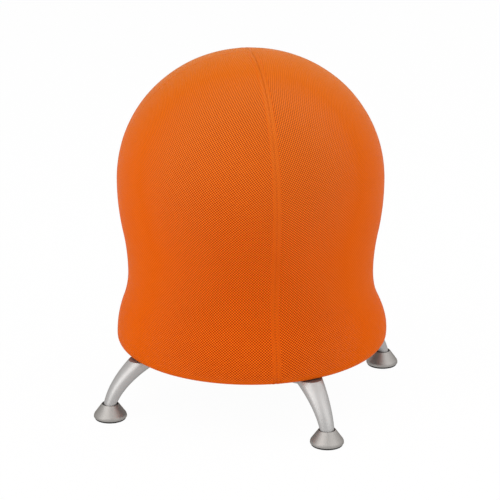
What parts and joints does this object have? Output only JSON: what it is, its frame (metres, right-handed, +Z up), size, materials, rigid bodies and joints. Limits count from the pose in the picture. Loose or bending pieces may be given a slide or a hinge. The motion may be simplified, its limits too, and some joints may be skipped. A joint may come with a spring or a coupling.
{
  "type": "balance ball chair",
  "caption": "Ball chair: an air-filled ball in a stretched mesh cover on a moulded base, with curved metal legs and feet that tilt and turn.",
  "frame": {"origin": "on the floor, under the centre of the ball", "axes": "+Z up along the ball's axis; X and Y run between the legs, which stand on the diagonals, with -Y towards the front"},
  "size_m": [0.444, 0.444, 0.584],
  "materials": {
    "dish_plastic": "moulded polypropylene, fine texture",
    "plate_plastic": "moulded polypropylene, fine texture",
    "ball_vinyl": "soft vinyl, satin",
    "valve_plastic": "moulded, satin",
    "mesh_fabric": "knitted spacer mesh, matte",
    "elastic": "braided elastic",
    "leg_metal": "silver powder coat, satin",
    "bolt_steel": "zinc plated",
    "insert_brass": "turned",
    "socket_nylon": "natural nylon",
    "foot_metal": "satin nickel",
    "pad_rubber": "matte"
  },
  "bodies": {
    "base": {"base_dish": "dish_plastic", "bottom_plate": "plate_plastic", "valve_seat": "valve_plastic", "hem_elastic": "elastic", "leg_back_right": "leg_metal", "leg_back_left": "leg_metal", "leg_front_left": "leg_metal", "leg_front_right": "leg_metal", "leg_bolts": "bolt_steel", "leg_washers": "bolt_steel", "leg_inserts": "insert_brass", "foot_stud_back_right": "bolt_steel", "foot_stud_back_left": "bolt_steel", "foot_stud_front_left": "bolt_steel", "foot_stud_front_right": "bolt_steel"},
    "seat": {"ball": "ball_vinyl", "cover_panel_back": "mesh_fabric", "cover_panel_left": "mesh_fabric", "cover_panel_front": "mesh_fabric", "cover_panel_right": "mesh_fabric"},
    "plug": {"air_plug": "valve_plastic"},
    "socket_back_right": {"foot_socket_back_right": "socket_nylon"},
    "foot_back_right": {"foot_cone_back_right": "foot_metal", "foot_pad_back_right": "pad_rubber"},
    "socket_back_left": {"foot_socket_back_left": "socket_nylon"},
    "foot_back_left": {"foot_cone_back_left": "foot_metal", "foot_pad_back_left": "pad_rubber"},
    "socket_front_left": {"foot_socket_front_left": "socket_nylon"},
    "foot_front_left": {"foot_cone_front_left": "foot_metal", "foot_pad_front_left": "pad_rubber"},
    "socket_front_right": {"foot_socket_front_right": "socket_nylon"},
    "foot_front_right": {"foot_cone_front_right": "foot_metal", "foot_pad_front_right": "pad_rubber"}
  },
  "joints": [
    {"name": "seat_bounce", "type": "slide", "parent": "base", "child": "seat", "axis": [0, 0, 1], "range_m": [-0.045, 0], "stiffness_N_per_m": 8000, "springref_m": 0.005, "deforming": ["ball", "cover_panel_back", "cover_panel_left", "cover_panel_front", "cover_panel_right"]},
    {"name": "plug_pull", "type": "slide", "parent": "base", "child": "plug", "axis": [0, 0, 1], "range_m": [-0.018, 0]},
    {"name": "foot_tilt_back_right", "type": "hinge", "parent": "base", "child": "socket_back_right", "pos_m": [0.18293, 0.18293, 0.0105], "axis": [-0.7071, 0.7071, 0], "range_deg": [-6, 6]},
    {"name": "foot_swivel_back_right", "type": "hinge", "parent": "socket_back_right", "child": "foot_back_right", "pos_m": [0.18293, 0.18293, 0.0105], "axis": [0, 0, 1], "continuous": true},
    {"name": "foot_tilt_back_left", "type": "hinge", "parent": "base", "child": "socket_back_left", "pos_m": [-0.18293, 0.18293, 0.0105], "axis": [-0.7071, -0.7071, 0], "range_deg": [-6, 6]},
    {"name": "foot_swivel_back_left", "type": "hinge", "parent": "socket_back_left", "child": "foot_back_left", "pos_m": [-0.18293, 0.18293, 0.0105], "axis": [0, 0, 1], "continuous": true},
    {"name": "foot_tilt_front_left", "type": "hinge", "parent": "base", "child": "socket_front_left", "pos_m": [-0.18293, -0.18293, 0.0105], "axis": [0.7071, -0.7071, 0], "range_deg": [-6, 6]},
    {"name": "foot_swivel_front_left", "type": "hinge", "parent": "socket_front_left", "child": "foot_front_left", "pos_m": [-0.18293, -0.18293, 0.0105], "axis": [0, 0, 1], "continuous": true},
    {"name": "foot_tilt_front_right", "type": "hinge", "parent": "base", "child": "socket_front_right", "pos_m": [0.18293, -0.18293, 0.0105], "axis": [0.7071, 0.7071, 0], "range_deg": [-6, 6]},
    {"name": "foot_swivel_front_right", "type": "hinge", "parent": "socket_front_right", "child": "foot_front_right", "pos_m": [0.18293, -0.18293, 0.0105], "axis": [0, 0, 1], "continuous": true}
  ]
}
